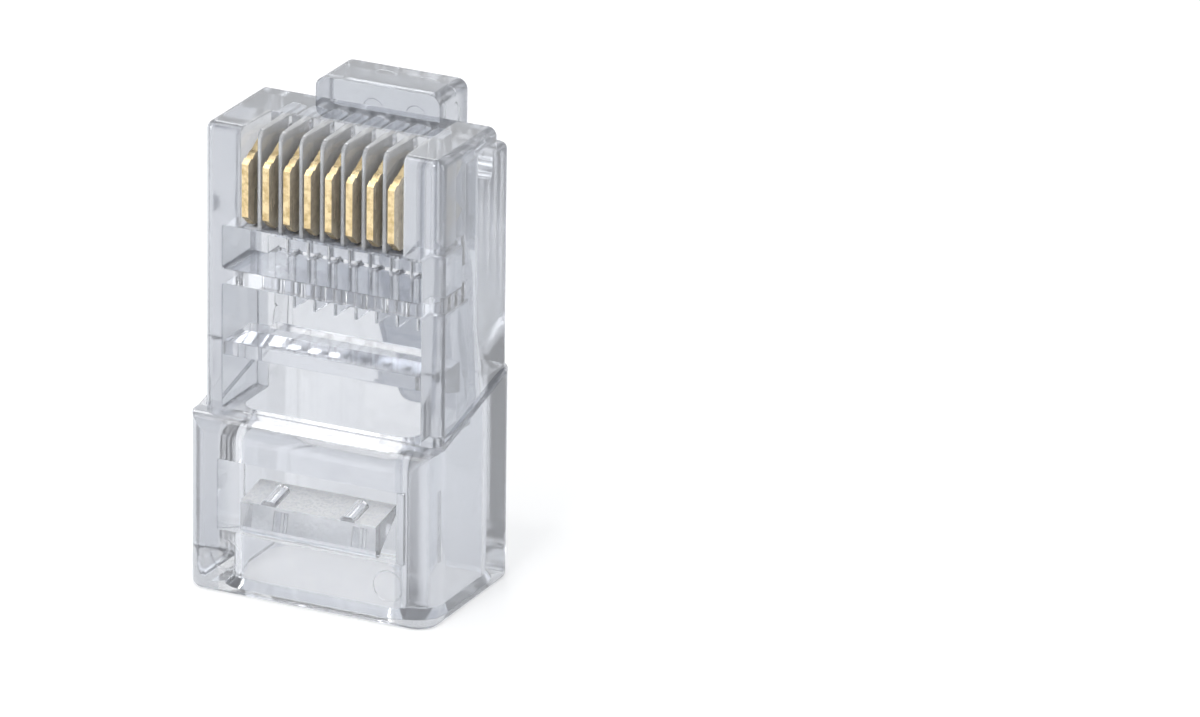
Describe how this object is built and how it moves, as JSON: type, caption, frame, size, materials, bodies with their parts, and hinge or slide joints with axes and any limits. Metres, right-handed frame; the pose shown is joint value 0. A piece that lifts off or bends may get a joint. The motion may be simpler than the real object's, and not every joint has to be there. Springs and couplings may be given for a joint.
{
  "type": "modular plug",
  "caption": "Clear plastic modular plug for the end of a network cable, with gold blade contacts, a sprung latch and crimp clamps.",
  "frame": {"origin": "middle of the cable-end face, where the cable goes in", "axes": "+X across the contacts, +Y from the contact side to the latch side, +Z from the cable end to the nose"},
  "size_m": [0.012, 0.0136, 0.0224],
  "materials": {
    "clear_plastic": "clear, polished mould",
    "gold": "gold plated, polished edge"
  },
  "bodies": {
    "housing": {"housing": "clear_plastic"},
    "latch": {"latch": "clear_plastic"},
    "conductor_clamp": {"conductor_clamp": "clear_plastic"},
    "jacket_clamp": {"jacket_clamp": "clear_plastic"},
    "contact_1": {"contact_1": "gold"},
    "contact_2": {"contact_2": "gold"},
    "contact_3": {"contact_3": "gold"},
    "contact_4": {"contact_4": "gold"},
    "contact_5": {"contact_5": "gold"},
    "contact_6": {"contact_6": "gold"},
    "contact_7": {"contact_7": "gold"},
    "contact_8": {"contact_8": "gold"}
  },
  "joints": [
    {"name": "latch_hinge", "type": "hinge", "parent": "housing", "child": "latch", "pos_m": [0, 0.00502, 0.0184], "axis": [1, 0, 0], "range_deg": [-18, 0], "stiffness_Nm_per_rad": 0.05},
    {"name": "conductor_clamp_press", "type": "slide", "parent": "housing", "child": "conductor_clamp", "axis": [0, 1, 0], "range_m": [0, 0.0006]},
    {"name": "jacket_clamp_hinge", "type": "hinge", "parent": "housing", "child": "jacket_clamp", "pos_m": [0, -0.00375, 0.00318], "axis": [1, 0, 0], "range_deg": [-35, 0]},
    {"name": "contact_1_crimp", "type": "slide", "parent": "housing", "child": "contact_1", "axis": [0, 1, 0], "range_m": [0, 0.001]},
    {"name": "contact_2_crimp", "type": "slide", "parent": "housing", "child": "contact_2", "axis": [0, 1, 0], "range_m": [0, 0.001]},
    {"name": "contact_3_crimp", "type": "slide", "parent": "housing", "child": "contact_3", "axis": [0, 1, 0], "range_m": [0, 0.001]},
    {"name": "contact_4_crimp", "type": "slide", "parent": "housing", "child": "contact_4", "axis": [0, 1, 0], "range_m": [0, 0.001]},
    {"name": "contact_5_crimp", "type": "slide", "parent": "housing", "child": "contact_5", "axis": [0, 1, 0], "range_m": [0, 0.001]},
    {"name": "contact_6_crimp", "type": "slide", "parent": "housing", "child": "contact_6", "axis": [0, 1, 0], "range_m": [0, 0.001]},
    {"name": "contact_7_crimp", "type": "slide", "parent": "housing", "child": "contact_7", "axis": [0, 1, 0], "range_m": [0, 0.001]},
    {"name": "contact_8_crimp", "type": "slide", "parent": "housing", "child": "contact_8", "axis": [0, 1, 0], "range_m": [0, 0.001]}
  ]
}
